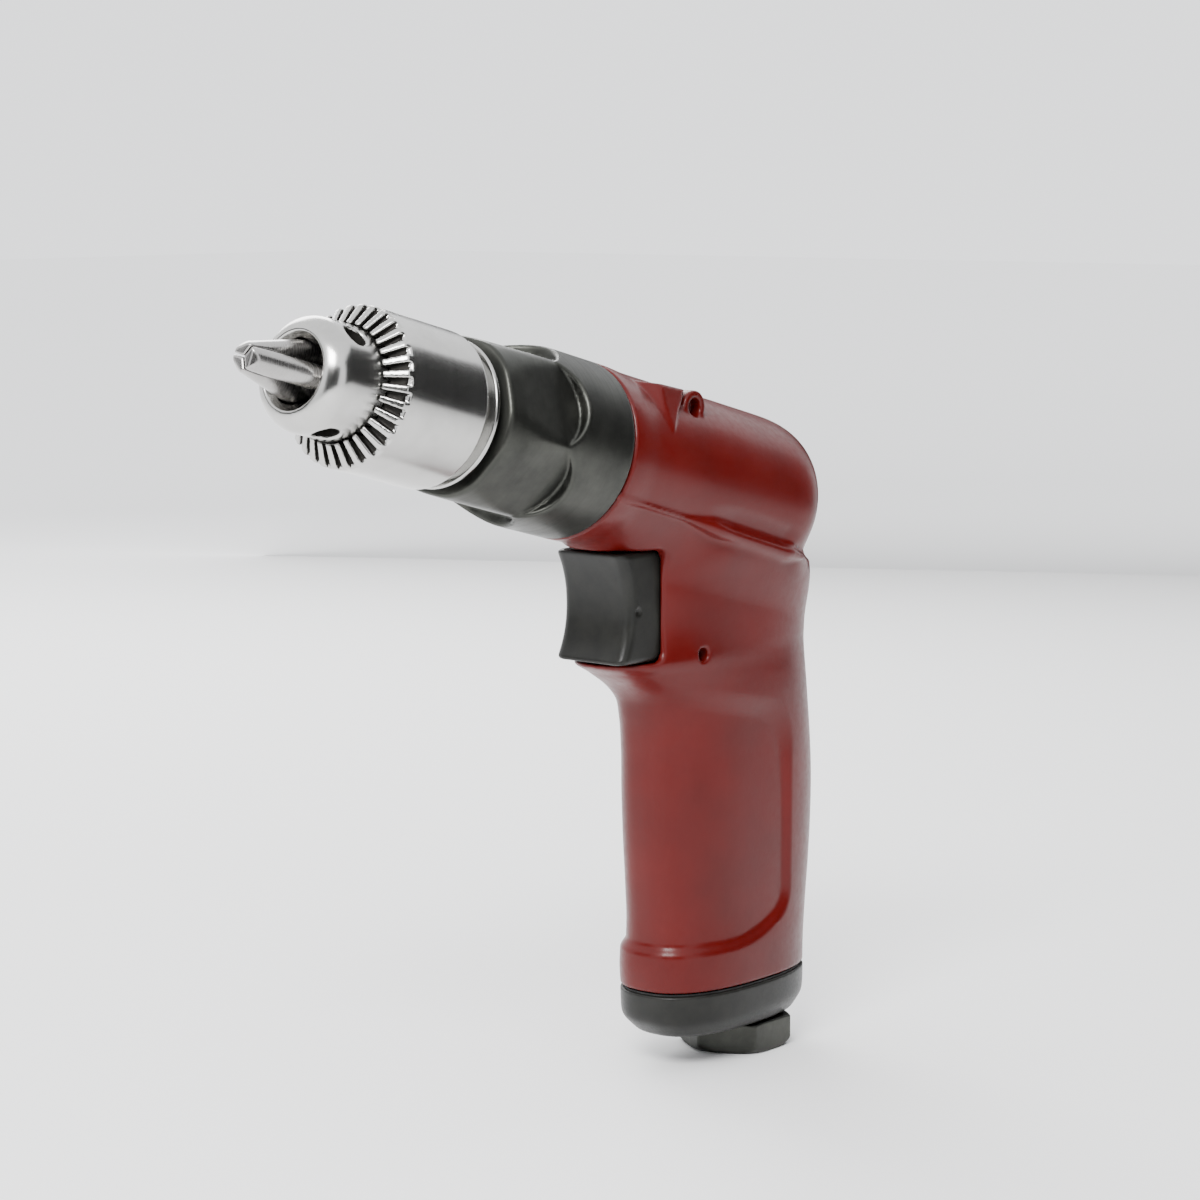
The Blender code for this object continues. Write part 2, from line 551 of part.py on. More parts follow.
# ---- housing --------------------------------------------------------------------------------
def make_housing(barrel, inlet):
    grip = loft([(z, superellipse(front, rear, half)) for z, front, rear, half in GRIP_SECTIONS])
    housing = solid("motor_housing", grip, "red_paint", inlet)
    yoke = loft([(z, superellipse(front, rear, half, exponent=2.7))
                 for z, front, rear, half in YOKE_SECTIONS])
    back = BARREL_REAR
    shell = [(back, 0.0), (back, 10.0), (back + 0.7, 14.2), (back + 2.6, 17.6), (back + 6.0, 20.0),
             (back + 11.0, 21.0), (8.0, BARREL_RADIUS), (BARREL_FRONT - 0.3, BARREL_RADIUS),
             (BARREL_FRONT, BARREL_RADIUS - 0.3), (BARREL_FRONT, 0.0)]
    joined = [solid("yoke", yoke, parent=inlet), solid("shell", turned(shell, 36), parent=barrel)]
    sideways = along((0, 1, 0), (BAIL_HEIGHT, 0, BAIL_STATION))
    joined.append(rod(BAIL_LUG_RADIUS, -BAIL_REACH, BAIL_REACH, sideways, barrel, 20))
    for side in (-1, 1):
        corners = [(up, out * side, station) for station, up, out in BAIL_PAD]
        joined.append(solid("pad", hull(corners), parent=barrel))
    carve(housing, joined, "UNION")
    carve(housing, [block((-75.0, -30.0, 103.7), (TRIGGER_WALL, 30.0, 131.2), Matrix(), inlet)])
    pocket_half = TRIGGER_HALF_WIDTH + 0.3
    tools = [
        block((TRIGGER_WALL - 5, -pocket_half, 103.7), (TRIGGER_FLOOR, pocket_half, 131.2),
              Matrix(), inlet),
        rod(BARREL_BORE, CHAMBER_REAR, 80.0, Matrix(), barrel, 36),
        rod(7.0, 30.0, 128.0, Matrix(), inlet, 24),
        rod(9.1, 10.0, 46.0, Matrix(), inlet, 28),
        solid("exhaust", prism(superellipse(EXHAUST_X - EXHAUST_HALF_DEPTH,
              EXHAUST_X + EXHAUST_HALF_DEPTH, EXHAUST_HALF_WIDTH, 20), 10.0, 96.0), parent=inlet),
        rod(5.4, -40.0, 0.0, along((1, 0, 0), (0, 0, ROD_Z)), inlet, 20),
        rod(1.7, -30.0, 30.0, along((0, 1, 0), (PIN_X, 0, PIN_Z)), inlet, 12),
        rod(BAIL_HOLE_RADIUS, -30.0, -BAIL_HOLE_FLOOR, sideways, barrel, 14),
        rod(BAIL_HOLE_RADIUS, BAIL_HOLE_FLOOR, 30.0, sideways, barrel, 14),
    ]
    for side in (-1, 1):
        tools.append(rod(3.0, 90.0, 134.0, at(-21.0, 9.6 * side, 0), inlet, 12))
    return carve(housing, tools)


def make_trigger(parent):
    """The trigger block: concave finger face ahead, a square shank that slides in the housing."""
    low, high = TRIGGER_LOW, TRIGGER_HIGH
    middle, reach = (low + high) / 2, (high - low) / 2
    face = []
    for step in range(9):
        lift = -1 + 2 * step / 8
        face.append((-53.4 - 3.6 * abs(lift) ** 2.2, middle + reach * lift))
    outline = [(-41.5, high), (-41.5, low), *face]
    bm = prism(outline, -TRIGGER_HALF_WIDTH, TRIGGER_HALF_WIDTH)
    trigger = solid("trigger", bm, "black_plastic", parent, SIDEWAYS)
    hold = rod(2.15, -52.0, -30.0, along((1, 0, 0), (0, 0, ROD_Z)), parent, 20)
    recess = rod(4.4, -44.5, -30.0, along((1, 0, 0), (0, 0, ROD_Z)), parent, 24)
    return carve(trigger, [hold, recess])


def coil(mean_radius, wire, length, turns, name, slot, parent, matrix, sides=5, steps=8):
    """A closed-end compression spring along local Z."""
    bm = bmesh.new()
    loops = []
    total = int(turns * steps)
    for step in range(total + 1):
        angle = 2 * math.pi * step / steps
        height = wire / 2 + (length - wire) * step / total
        loop = []
        for side in range(sides):
            spin = 2 * math.pi * side / sides
            radius = mean_radius + wire / 2 * math.cos(spin)
            loop.append(bm.verts.new((radius * math.cos(angle), radius * math.sin(angle),
                                      height + wire / 2 * math.sin(spin))))
        loops.append(loop)
    bm.faces.new(loops[0])
    bm.faces.new(loops[-1])
    for here, there in zip(loops, loops[1:]):
        for side in range(sides):
            after = (side + 1) % sides
            bm.faces.new([here[side], here[after], there[after], there[side]])
    solid(name, bm, slot, parent, matrix)


def make_trigger_train(slider, inlet):
    make_trigger(slider)
    push = along((1, 0, 0), (0, 0, ROD_Z))
    solid("trigger_rod", turned([(-51.6, 0.0), (-51.6, 1.95), (-3.0, 1.95), (-2.2, 1.2),
                                 (-2.2, 0.0)], 20), "ground_steel", slider, push)
    coil(3.3, 0.7, 7.0, 3.5, "trigger_spring", "ground_steel", slider,
         along((1, 0, 0), (-44.2, 0, ROD_Z)))
    guide = solid("rod_guide", turned([(-35.6, 4.3), (-35.6, 5.2), (-9.5, 5.2), (-9.5, 3.9),
                                       (-13.0, 3.9), (-13.0, 2.1), (-29.6, 2.1), (-29.6, 4.3)], 20),
                  "brass", inlet, push)
    carve(guide, [rod(1.75, -10.0, 10.0, along((0, 1, 0), (PIN_X, 0, PIN_Z)), inlet, 16)])
    solid("rod_seal", turned(ring_profile(-12.7, -10.4, 2.12, 3.7), 20), "rubber", inlet, push)
    solid("guide_pin", turned(ring_profile(-14.2, 14.2, 0.0, 1.4, 0.2), 16), "ground_steel", inlet,
          along((0, 1, 0), (PIN_X, 0, PIN_Z)))


def make_throttle(tilter, inlet):
    to_pivot = at(-VALVE_PIVOT_X, 0, -VALVE_PIVOT_Z)
    valve = [(79.2, 0.0), (79.2, 2.4), (80.6, 2.4), (80.6, 5.5), (82.2, 5.5), (83.4, 4.2),
             (83.4, 1.4), (113.4, 1.4), (114.0, 0.9), (114.0, 0.0)]
    solid("throttle_valve", turned(valve, 24), "brass", tilter, to_pivot)
    coil(3.3, 0.7, 8.4, 3.5, "valve_spring", "ground_steel", tilter, to_pivot @ at(0, 0, 72.0))
    seat = [(83.7, 4.6), (83.7, 6.8), (89.0, 6.8), (89.0, 3.5), (84.9, 3.5)]
    solid("valve_seat", turned(seat, 28), "brass", inlet)
    cup = solid("spring_seat", turned(ring_profile(67.0, 70.2, 0.0, 6.8), 20), "brass", inlet)
    tools = [rod(1.2, 60.0, 75.0, at(4.2 * math.cos(a), 4.2 * math.sin(a), 0), inlet, 6)
             for a in np.arange(5) * 2 * math.pi / 5]
    tools.append(rod(1.6, 60.0, 75.0, Matrix(), inlet, 8))
    carve(cup, tools)


def make_handle_end(inlet):
    cap_front, cap_rear, cap_half = GRIP_SECTIONS[0][1:]
    levels = [(CAP_BOTTOM, 4.6), (CAP_BOTTOM + 1.6, 2.4), (CAP_BOTTOM + 4.0, 0.8), (13.6, 0.1),
              (19.2, 0.0)]
    cap = solid("handle_cap", loft([(z, superellipse(cap_front + s, cap_rear - s * 0.8,
                cap_half - s * 0.55)) for z, s in levels]), "black_plastic", inlet)
    tools = [rod(9.4, 0.0, 30.0, Matrix(), inlet, 32),
             solid("well", prism(superellipse(EXHAUST_X - EXHAUST_HALF_DEPTH, EXHAUST_X +
                   EXHAUST_HALF_DEPTH, EXHAUST_HALF_WIDTH, 28), 11.5, 30.0), parent=inlet)]
    for step in range(4):
        x = EXHAUST_X - 5.4 + 3.6 * step
        tools.append(block((x - 0.9, -6.0, 0.0), (x + 0.9, 6.0, 13.0), Matrix(), inlet))
    carve(cap, tools)
    gasket = solid("cap_gasket", prism(superellipse(cap_front + 0.4, cap_rear - 0.4,
                   cap_half - 0.4), 19.5, 19.9), "rubber", inlet)
    carve(gasket, [rod(9.4, 0.0, 30.0, Matrix(), inlet, 32),
                   solid("well", prism(superellipse(EXHAUST_X - EXHAUST_HALF_DEPTH, EXHAUST_X +
                         EXHAUST_HALF_DEPTH, EXHAUST_HALF_WIDTH, 28), 10.0, 30.0), parent=inlet)])
    silencer = prism(superellipse(EXHAUST_X - EXHAUST_HALF_DEPTH + 0.4, EXHAUST_X +
                     EXHAUST_HALF_DEPTH - 0.4, EXHAUST_HALF_WIDTH - 0.4, 24), 22.0, 62.0)
    solid("exhaust_silencer", silencer, "felt", inlet)


def make_inlet(inlet):
    corner = INLET_HEX_FLATS / 2 / math.cos(math.pi / 6)
    bushing = solid("inlet_bushing", prism(circle(corner, 6, phase=0.0), 0.0, 7.7),
                    "black_oxide", inlet)
    top = 42.0
    shank = solid("shank", turned([(4.0, 0.0), (4.0, 8.8), (top - 0.6, 8.8), (top, 8.2),
                                   (top, 0.0)], 24), parent=inlet)
    carve(bushing, [shank], "UNION")
    chamfer = turned([(-1.0, corner - 2.25), (-1.0, 19.0), (8.8, 19.0), (6.9, corner + 0.75),
                      (6.9, corner + 0.05), (1.6, corner + 0.05), (0.0, corner - 1.55)], 36)
    bore = turned([(-1.0, 0.0), (-1.0, 6.4), (0.0, 6.4), (0.8, 5.8), (20.0, 5.8), (20.0, 4.4),
                   (50.0, 4.4), (50.0, 0.0)], 24)
    carve(bushing, [solid("chamfer", chamfer, parent=inlet), solid("bore", bore, parent=inlet)])
    screen = solid("inlet_screen", turned(ring_profile(17.6, 19.6, 0.0, 5.5), 20), "brass", inlet)
    tools = [rod(0.95, 10.0, 25.0, at(3.0 * math.cos(a), 3.0 * math.sin(a), 0), inlet, 6)
             for a in np.arange(5) * 2 * math.pi / 5]
    tools.append(rod(0.75, 10.0, 25.0, Matrix(), inlet, 6))
    carve(screen, tools)
    ring = []
    for step in range(6):
        angle = 2 * math.pi * step / 6
        ring.append((43.2 + 0.8 * math.sin(angle), 8.1 + 0.8 * math.cos(angle)))
    solid("inlet_o_ring", turned(ring, 28), "rubber", inlet)


def build():
    clear_scene()
    inlet = empty("inlet_axis", at(INLET_X, 0, 0))
    barrel = empty("barrel_axis", at(INLET_X, 0, BARREL_Z)
                   @ Matrix.Rotation(BARREL_TILT - math.pi / 2, 4, "Y"))
    slider = empty("trigger_slider", Matrix(), inlet)
    tilter = empty("valve_pivot", at(VALVE_PIVOT_X, 0, VALVE_PIVOT_Z), inlet)

    make_housing(barrel, inlet)
    make_handle_end(inlet)
    make_inlet(inlet)
    make_trigger_train(slider, inlet)
    make_throttle(tilter, inlet)

    make_cylinder(barrel)
    make_end_plate("rear_end_plate", 6.0, 16.0, 0.0, 11.4, 8.2, 4.3, barrel, (-1, 1))
    make_end_plate("front_end_plate", 54.6, 62.6, 57.6, 70.0, 9.2, 4.8, barrel, ())
    make_rotor(barrel)
    make_vanes(barrel)
    make_bearing("rotor_bearing_rear", 6.8, 11.2, 3.9, 8.0, barrel)
    make_bearing("rotor_bearing_front", 57.9, 62.4, 4.4, 9.0, barrel)
    solid("motor_dowel", turned(ring_profile(7.0, 61.5, 0.0, 1.25), 12), "ground_steel",
          barrel, at(14.9, 0, 0))

    make_gear_case(barrel)
    solid("gear_spacer", turned(ring_profile(62.9, 73.9, 13.6, 15.0), 40), "ground_steel", barrel)
    make_ring_gear(barrel)
    for number in range(3):
        make_planet(number, barrel)
    make_spindle(barrel)
    make_bearing("spindle_bearing_rear", 91.2, 97.0, 8.1, 13.0, barrel)
    make_bearing("spindle_bearing_front", 97.5, 103.4, 8.1, 13.0, barrel)
    solid("spindle_seal", turned(ring_profile(104.0, 106.9, 8.12, 11.2), 32), "rubber", barrel)
    solid("spindle_washer", turned(ring_profile(109.5, 110.8, 4.95, 17.3, 0.3), 32),
          "bright_steel", barrel)

    make_chuck_body(barrel)
    make_chuck_nut(barrel)
    make_chuck_sleeve(barrel)
    for number in range(3):
        make_jaw(number, barrel)


build()
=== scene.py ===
"""Looks of the pneumatic drill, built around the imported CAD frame.

Shapes are worked out in millimetres in two frames. The handle's frame has its origin on the air
inlet's axis, level with the inlet's face: X points back, Z up the handle. The barrel's frame has
its origin where the barrel's axis crosses that axis: T runs forward along the barrel, U points up
from it and Y is shared. The smooth castings and mouldings are distance fields: a field function
says how far a point is outside the shape, and polygonise() turns it into a mesh.
"""

import json
import math

import bmesh
import bpy
import numpy as np
from mathutils import Matrix, Vector


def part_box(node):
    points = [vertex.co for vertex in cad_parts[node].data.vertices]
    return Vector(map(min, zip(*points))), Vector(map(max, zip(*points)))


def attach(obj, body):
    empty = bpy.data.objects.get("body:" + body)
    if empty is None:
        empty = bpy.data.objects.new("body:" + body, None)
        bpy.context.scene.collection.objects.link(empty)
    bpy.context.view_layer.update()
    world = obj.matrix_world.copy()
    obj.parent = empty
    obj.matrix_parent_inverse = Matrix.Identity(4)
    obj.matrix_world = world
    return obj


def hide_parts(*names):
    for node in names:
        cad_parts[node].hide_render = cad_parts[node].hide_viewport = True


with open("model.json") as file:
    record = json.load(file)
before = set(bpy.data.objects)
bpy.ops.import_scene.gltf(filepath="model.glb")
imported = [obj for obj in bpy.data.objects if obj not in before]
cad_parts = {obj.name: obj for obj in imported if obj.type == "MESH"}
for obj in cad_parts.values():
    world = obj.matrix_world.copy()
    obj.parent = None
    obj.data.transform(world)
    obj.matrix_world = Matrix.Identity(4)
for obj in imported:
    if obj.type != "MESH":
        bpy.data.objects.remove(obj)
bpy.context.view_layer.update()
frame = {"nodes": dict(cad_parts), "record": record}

MM = 0.001
TILT = math.radians(14.5)
AXIS_HEIGHT = 139.1
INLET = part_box("inlet_bushing")
INLET_X = (INLET[0].x + INLET[1].x) / 2 / MM
FORWARD = np.array([-math.cos(TILT), 0.0, math.sin(TILT)])
UPWARD = np.array([math.sin(TILT), 0.0, math.cos(TILT)])
BARREL = Matrix(((UPWARD[0], 0, FORWARD[0], INLET_X), (0, 1, 0, 0),
                 (UPWARD[2], 0, FORWARD[2], AXIS_HEIGHT), (0, 0, 0, 1)))


BARREL_RADIUS, BARREL_FRONT = 21.4, 66.6
BAIL_STATION, BAIL_HEIGHT = 40.3, 15.9
PIN_X, PIN_HEIGHT = -31.0, 104.6
THROTTLE_HEIGHT = 111.0
HEX_HALF_FLATS = 12.7
JAW_LEAN, JAW_TIP = math.radians(14), 172.0
FIRST_KEY_HOLE, FIRST_JAW = 40, 100

# The camera: heading from +Y, downward tilt and roll in degrees, place in millimetres.
VIEW_HEADING, VIEW_TILT, VIEW_ROLL = 49.37, 7.59, -0.167
VIEW_PLACE = (-631.5, -497.2, 220.6)
LENS, SENSOR = 96.87, 36.0


# ---- distance fields ------------------------------------------------------------------------
def smooth_max(a, b, radius):
    """The larger of two distances, with the edge between their shapes rounded."""
    mix = np.clip(0.5 + 0.5 * (a - b) / radius, 0, 1)
    return b + (a - b) * mix + radius * mix * (1 - mix)


def smooth_min(a, b, radius):
    return -smooth_max(-a, -b, radius)


def ramp(value, low, high):
    """0 below low, 1 above high, and a smooth step between them."""
    step = np.clip((value - low) / (high - low), 0, 1)
    return step * step * (3 - 2 * step)


def box_2d(a, b, centre, half, radius):
    """Distance to a rectangle with rounded corners."""
    qa = np.abs(a - centre[0]) - half[0] + radius
    qb = np.abs(b - centre[1]) - half[1] + radius
    outside = np.hypot(np.maximum(qa, 0), np.maximum(qb, 0))
    return outside + np.minimum(np.maximum(qa, qb), 0) - radius


def oval(x, y, front, rear, half, power):
    """Distance to a superellipse between front and rear, which may change from point to point."""
    reach = (rear - front) / 2
    across = np.abs(x - (front + rear) / 2) / reach + 1e-6
    along = np.abs(y) / half + 1e-6
    size = (across ** power + along ** power) ** (1 / power)
    slope = np.hypot((across / size) ** (power - 1) / reach, (along / size) ** (power - 1) / half)
    return (size - 1) / slope


def in_barrel(p):
    """Barrel coordinates T, U and Y of points given in the handle's frame."""
    x, y, z = p[:, 0], p[:, 1], p[:, 2] - AXIS_HEIGHT
    return x * FORWARD[0] + z * FORWARD[2], x * UPWARD[0] + z * UPWARD[2], y


def polygonise(name, field, low, high, step, matrix=None):
    """Mesh of the surface where a field is zero: one vertex per crossed cell, moved onto it."""
    counts = [int(math.ceil((b - a) / step)) + 1 for a, b in zip(low, high)]
    axes = [low[i] + step * np.arange(counts[i]) for i in range(3)]
    values = np.empty(counts)
    for i, x in enumerate(axes[0]):
        y, z = np.meshgrid(axes[1], axes[2], indexing="ij")
        sheet = np.stack([np.full(y.size, x), y.ravel(), z.ravel()], 1)
        values[i] = field(sheet).reshape(y.shape)
    inside = values < 0
    total = np.zeros([n - 1 for n in counts] + [3])
    hits = np.zeros([n - 1 for n in counts])
    ends = [slice(0, -1), slice(1, None)]
    for axis in range(3):
        others = [i for i in range(3) if i != axis]
        for u in (0, 1):
            for v in (0, 1):
                here = [None] * 3
                here[axis], here[others[0]], here[others[1]] = ends[0], ends[u], ends[v]
                there = list(here)
                there[axis] = ends[1]
                a, b = values[tuple(here)], values[tuple(there)]
                crossed = (a < 0) != (b < 0)
                share = np.where(crossed, a / np.where(crossed, a - b, 1), 0)
                total[..., axis] += share
                total[..., others[0]] += u * crossed
                total[..., others[1]] += v * crossed
                hits += crossed
    cells = hits > 0
    index = np.full(cells.shape, -1)
    index[cells] = np.arange(cells.sum())
    corner = np.argwhere(cells)
    points = (corner + total[cells] / hits[cells][:, None]) * step + np.array(low)
    quads = []
    for axis in range(3):
        others = [(axis + 1) % 3, (axis + 2) % 3]
        here = [slice(1, n - 1) for n in counts]
        here[axis] = slice(0, counts[axis] - 1)
        there = list(here)
        there[axis] = slice(1, counts[axis])
        a, b = inside[tuple(here)], inside[tuple(there)]
        spots = np.argwhere(a != b)
        flip = a[a != b]
        ring = []
        for u, v in ((1, 1), (0, 1), (0, 0), (1, 0)):
            cell = spots.copy()
            cell[:, others[0]] += u
            cell[:, others[1]] += v
            ring.append(index[tuple(cell.T)])
        ring = np.stack(ring, 1)
        quads.append(np.where(flip[:, None], ring[:, ::-1], ring))
    quads = np.concatenate(quads)
    for pull in (0.7, 0.9, 1.0, 1.0):
        reach = 0.05
        value = field(points)
        slope = np.stack([(field(points + reach * e) - field(points - reach * e)) / (2 * reach)
                          for e in np.eye(3)], 1)
        size = np.maximum((slope ** 2).sum(1), 0.05)
        move = -(pull * value / size)[:, None] * slope
        length = np.linalg.norm(move, axis=1, keepdims=True)
        points += move * np.minimum(1, 0.35 * step / np.maximum(length, 1e-9))
    return mesh_object(name, points, quads, matrix)


def mesh_object(name, points, faces, matrix=None):
    """A smooth-shaded object from points in millimetres, in the handle's frame unless placed."""
    place = matrix or Matrix.Translation((INLET_X, 0, 0))
    points = np.asarray(points, float) @ np.array(place.to_3x3()).T + np.array(place.translation)
    mesh = bpy.data.meshes.new(name)
    mesh.from_pydata((points * MM).tolist(), [], np.asarray(faces).tolist())
    mesh.update()
    mesh.validate()
    mesh.shade_smooth()
    made = bpy.data.objects.new(name, mesh)
    bpy.context.scene.collection.objects.link(made)
    return made


# ---- housing --------------------------------------------------------------------------------
# height, front and rear from the inlet's axis, half width of the handle's proud outline
HANDLE = np.array([
    (20.2, -37.2, 19.8, 15.6), (25.0, -37.6, 19.9, 15.6), (30.0, -37.3, 20.2, 15.6),
    (36.0, -37.2, 21.0, 15.4), (46.0, -37.9, 22.4, 15.3), (57.0, -38.8, 23.4, 15.3),
    (69.0, -39.4, 23.7, 15.3), (81.0, -39.6, 22.8, 15.3), (88.0, -40.2, 21.9, 15.4),
    (93.0, -41.6, 21.3, 15.5), (97.0, -45.0, 21.0, 15.5), (100.5, -50.5, 20.9, 15.5),
    (103.4, -55.5, 20.9, 15.6), (106.0, -53.0, 20.9, 15.6), (122.0, -51.0, 20.4, 15.9),
    (132.0, -51.5, 17.5, 15.6), (141.0, -50.0, 13.0, 12.0),
])
GRIP_DEPTH = 1.35


def handle_outline(z):
    """Front, rear and half width at a height, eased between the rows of HANDLE."""
    rows = HANDLE
    spot = np.clip(np.searchsorted(rows[:, 0], z) - 1, 0, len(rows) - 2)
    tangent = np.gradient(rows[:, 1:], rows[:, 0], axis=0)
    width = (rows[spot + 1, 0] - rows[spot, 0])
    s = np.clip((z - rows[spot, 0]) / width, 0, 1)[:, None]
    a, b = rows[spot, 1:], rows[spot + 1, 1:]
    ta, tb = tangent[spot] * width[:, None], tangent[spot + 1] * width[:, None]
    out = ((2 * s - 3) * s * s + 1) * a + ((s - 2) * s + 1) * s * ta
    out += (3 - 2 * s) * s * s * b + (s - 1) * s * s * tb
    return out.T


def grip_recess(x, z):
    """How far the palm and finger recess is sunk into the handle's sides and front."""
    rear = x - 4.2
    top = (z - 90.7 + 0.211 * (x + 8.5)) * 0.978
    low = smooth_max(29.6 - z, (33.0 - z + 0.42 * (x + 4.0)) * 0.92, 3.0)
    edge = smooth_max(smooth_max(rear, top, 11.0), low, 5.0)
    soft = ramp(z, 60, 90) * 2.2
    return GRIP_DEPTH * ramp(-edge, -0.4 - soft * 0.4, 2.6 + soft)


def barrel_shell(t, rho):
    """The barrel: a cylinder with a domed rear end and a slight waist."""
    dome = np.clip((8.0 - t) / 21.0, 0, None)
    rounded = ((dome ** 4.3 + (rho / BARREL_RADIUS) ** 4.3) ** (1 / 4.3) - 1) * BARREL_RADIUS
    waist = 0.4 * ramp(t, 20, 44) * (1 - ramp(t, 56, 64))
    return smooth_max(rounded + waist, t - BARREL_FRONT, 0.9)


def bail_pad(t, u, y, rho):
    """On each upper side: a round lug for a hanging bail, and a wedge-shaped pad ahead of it."""
    side = np.abs(y)
    face = u * 0.412 + side * 0.911 - 21.3
    top = (u - 19.6) * 0.97 + (t - BAIL_STATION) * 0.05
    ahead = (0.860 * t - 0.510 * u - 38.2) * 0.62 + (rho - 22.6) * 0.78
    behind = 47.2 - 0.823 * t - 0.567 * u
    pad = smooth_max(smooth_max(face, top, 0.5), smooth_max(ahead, behind, 0.4), 0.5)
    lug = smooth_max(np.hypot(t - BAIL_STATION, u - BAIL_HEIGHT) - 4.0, side - 15.4, 0.7)
    return smooth_min(np.maximum(pad, 14.0 - rho), np.maximum(lug, 14.0 - rho), 1.2)


def housing_field(p):
    """The casting: handle and barrel run together, then the ledge, pads, window and bores."""
    x, y, z = p.T
    t, u, _ = in_barrel(p)
    rho = np.hypot(u, y)
    front, rear, half = handle_outline(z)
    shoulder = 2.7 * ramp(u, -27, -13.0) * (1 - ramp(u, -12.2, -9.8)) * (1 - 0.6 * ramp(t, 20, 46))
    handle = oval(x, y, front, rear, half + shoulder, 2.5) + grip_recess(x, z)
    handle = smooth_max(handle, z - 146, 4.0)
    handle = smooth_max(handle, 20.2 - z, 0.7)
    barrel = barrel_shell(t, rho)
    blend = 2.2 + 11.0 * ramp(t, 22, 58) + 2.5 * (1 - ramp(t, -9, 2))
    shape = smooth_min(handle, barrel, blend)
    shape = smooth_max(shape, t - BARREL_FRONT, 0.9)

    # the ledge under the barrel: a raised lip with a groove above it
    flank = np.abs(y)
    lip_line = u + 12.1 - 0.03 * t
    lip = np.hypot(lip_line, flank - 18.6) - 2.0 * ramp(t, -9, 2) * (1 - ramp(t, 26, 44))
    shape = smooth_min(shape, np.maximum(lip, -8 - t), 1.8)
    groove = np.hypot(lip_line - 3.0, flank - 21.4) - 2.3 * ramp(t, -7, 3) + 3.4 * ramp(t, 22, 44)
    shape = smooth_max(shape, -groove, 1.8)

    shape = smooth_min(shape, bail_pad(t, u, y, rho), 0.7)
    opening = box_2d(x, z, (-93.0, 117.45), (50.0, 13.75), 3.2)
    shape = smooth_max(shape, -opening, 0.9)
    pocket = np.maximum(np.maximum(np.abs(y) - 11.0, np.abs(z - 117.45) - 13.75),
                        np.maximum(x + 36.0, -60 - x))
    shape = np.maximum(shape, -pocket)
    for cavity in housing_cavities(x, y, z, t, u, rho):
        shape = np.maximum(shape, -cavity)
    hole = np.maximum(np.hypot(t - BAIL_STATION, u - BAIL_HEIGHT) - 2.2, 12.2 - np.abs(y))
    shape = smooth_max(shape, -hole, 0.5)
    pin = np.hypot(x - PIN_X, z - PIN_HEIGHT) - 1.7
    return smooth_max(shape, -pin, 0.4)


def housing_cavities(x, y, z, t, u, rho):
    """The air motor's chamber, the inlet's bore, the exhaust well and the throttle's bore."""
    yield np.maximum(rho - 17.5, -6.0 - t)
    inlet = np.hypot(x, y)
    yield np.maximum(inlet - 7.0, np.abs(z - 79) - 49)
    yield np.maximum(inlet - 9.1, z - 46)
    yield np.maximum(oval(x, y, -30.3, -12.7, 9.2, 2.4), z - 96)
    yield np.maximum(np.hypot(y, z - THROTTLE_HEIGHT) - 5.4, np.abs(x + 20) - 20)
    for side in (-1, 1):
        yield np.maximum(np.hypot(x + 21.0, y - 9.6 * side) - 3.0, np.abs(z - 112) - 22)


def make_housing():
    housing = polygonise("housing_shell", housing_field, (-72, -22.5, 19), (26, 22.5, 178), 0.6)
    return finish_piece(housing, "housing", "red_paint", "motor_housing")


# ---- trigger, cap and inlet -------------------------------------------------------------------
def trigger_field(p):
    """The trigger block: hollowed face ahead, worn corners, bores for its rod and spring."""
    x, y, z = p.T
    lift = (z - 117.5) / 13.3
    face = (-53.4 - 3.6 * np.abs(lift) ** 2.2 - x) * 0.93
    sides = smooth_max(np.abs(y) - 10.7, face, 2.6)
    ends = box_2d(x, z, (-71.5, 117.5), (30.0, 13.3), 3.0)
    shape = smooth_max(sides, ends, 1.3)
    dot = np.hypot(np.hypot(x + 50.4, z - 116.7), np.abs(y) - 11.2) - 1.0
    shape = smooth_max(shape, -dot, 0.4)
    across = np.hypot(y, z - THROTTLE_HEIGHT)
    shape = np.maximum(shape, -np.maximum(across - 2.15, -52.0 - x))
    return np.maximum(shape, -np.maximum(across - 4.4, -44.5 - x))


def cap_field(p):
    """The handle's foot: a moulding with chamfered ends and four exhaust slots."""
    x, y, z = p.T
    drop = (12.4 - z + np.hypot(12.4 - z, 1.4)) / 2
    shape = oval(x, y, -37.3 + 1.2 * drop, 19.9 - 0.7 * drop, 15.7 - 0.7 * drop, 2.5) * 0.82
    shape = smooth_max(shape, 8.0 - z, 1.2)
    shape = smooth_max(shape, z - 19.4, 0.5)
    well = np.maximum(oval(x, y, -30.3, -12.7, 9.2, 2.4), 11.5 - z)
    shape = np.maximum(np.maximum(shape, -well), 9.4 - np.hypot(x, y))
    for slot_x in (-26.9, -23.3, -19.7, -16.1):
        opening = np.maximum(box_2d(x, y, (slot_x, 0.0), (0.9, 6.0), 0.85), z - 12.5)
        shape = smooth_max(shape, -opening, 0.5)
    return shape


